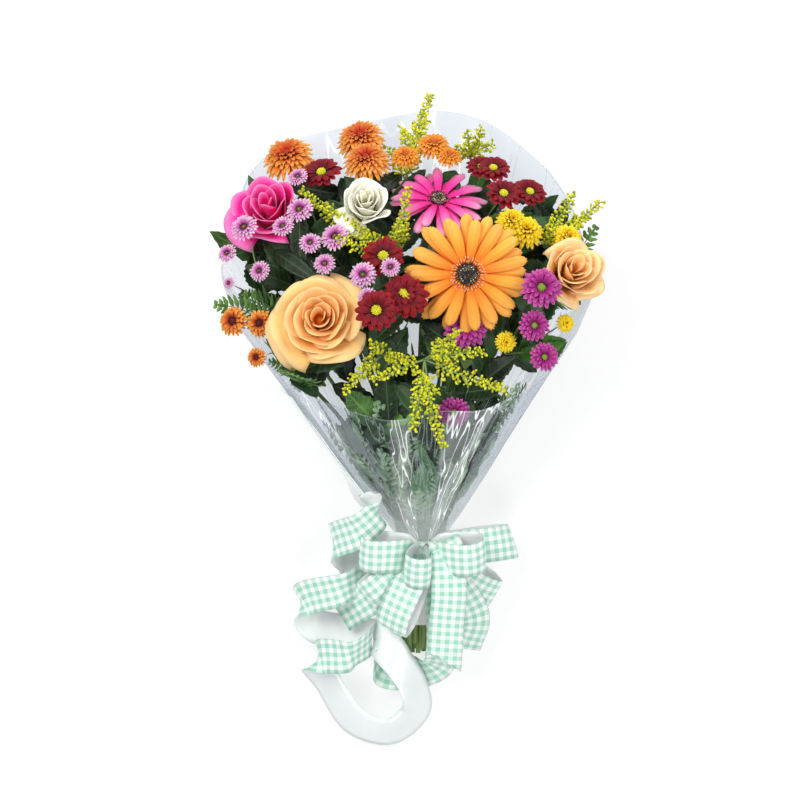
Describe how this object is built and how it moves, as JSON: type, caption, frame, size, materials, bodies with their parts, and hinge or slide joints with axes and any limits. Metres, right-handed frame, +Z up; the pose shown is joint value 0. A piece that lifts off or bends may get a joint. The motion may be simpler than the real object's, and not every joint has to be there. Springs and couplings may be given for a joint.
{
  "type": "mixed flower bouquet",
  "caption": "Mixed hand-tied bouquet of roses, gerberas, daisies and goldenrod in a clear film cone, bound with a gingham ribbon bow.",
  "frame": {"origin": "centre of the footprint of the lying bouquet, on the table under it", "axes": "+Z up from the table, +Y from the cut stem ends to the flowers, +X to the right seen from above with the flowers away"},
  "size_m": [0.3472, 0.5846, 0.189],
  "materials": {
    "clear_film": "clear, glossy",
    "gingham_ribbon": "mint and white gingham, satin back",
    "orange_ray": "soft petal",
    "pink_ray": "soft petal",
    "dark_disc": "matt florets",
    "green_stem": "smooth green stem",
    "peach_petal": "soft petal",
    "hot_pink_petal": "soft petal",
    "white_petal": "soft petal",
    "lilac_head": "soft petal",
    "dark_red_head": "velvety petal",
    "purple_head": "soft petal",
    "orange_head": "soft petal",
    "yellow_head": "soft petal",
    "goldenrod_bud": "small matt buds",
    "leaf_green": "satin leaf"
  },
  "bodies": {
    "root": {"daisy_purple_lip": "purple_head", "daisy_purple_middle": "purple_head", "daisy_purple_right": "purple_head", "daisy_red_front": "dark_red_head", "daisy_red_left": "dark_red_head", "daisy_red_right": "dark_red_head", "fern_inside_left": "leaf_green", "fern_inside_right": "leaf_green", "fern_right": "leaf_green", "ferns_left": "leaf_green", "film_wrap": "clear_film", "gerbera_orange_disc": "dark_disc", "gerbera_orange_rays": "orange_ray", "gerbera_orange_stem": "green_stem", "gerbera_pink_disc": "dark_disc", "gerbera_pink_rays": "pink_ray", "gerbera_pink_stem": "green_stem", "goldenrod_back": "goldenrod_bud", "goldenrod_front": "goldenrod_bud", "goldenrod_low": "goldenrod_bud", "goldenrod_middle": "goldenrod_bud", "goldenrod_right": "goldenrod_bud", "goldenrod_tall": "goldenrod_bud", "leaves_back": "leaf_green", "leaves_middle": "leaf_green", "leaves_right": "leaf_green", "mum_orange_left": "orange_head", "mum_orange_middle": "orange_head", "mum_orange_right": "orange_head", "pompon_yellow_low": "yellow_head", "pompon_yellow_right": "yellow_head", "ribbon_bow": "gingham_ribbon", "ribbon_tie": "gingham_ribbon", "rose_peach_front_bloom": "peach_petal", "rose_peach_front_stem": "green_stem", "rose_peach_side_bloom": "peach_petal", "rose_peach_side_stem": "green_stem", "rose_pink_bloom": "hot_pink_petal", "rose_pink_stem": "green_stem", "rose_white_bloom": "white_petal", "rose_white_stem": "green_stem", "santini_bronze": "orange_head", "santini_lilac_left": "lilac_head", "santini_lilac_middle": "lilac_head", "santini_lilac_right": "lilac_head"}
  },
  "joints": []
}
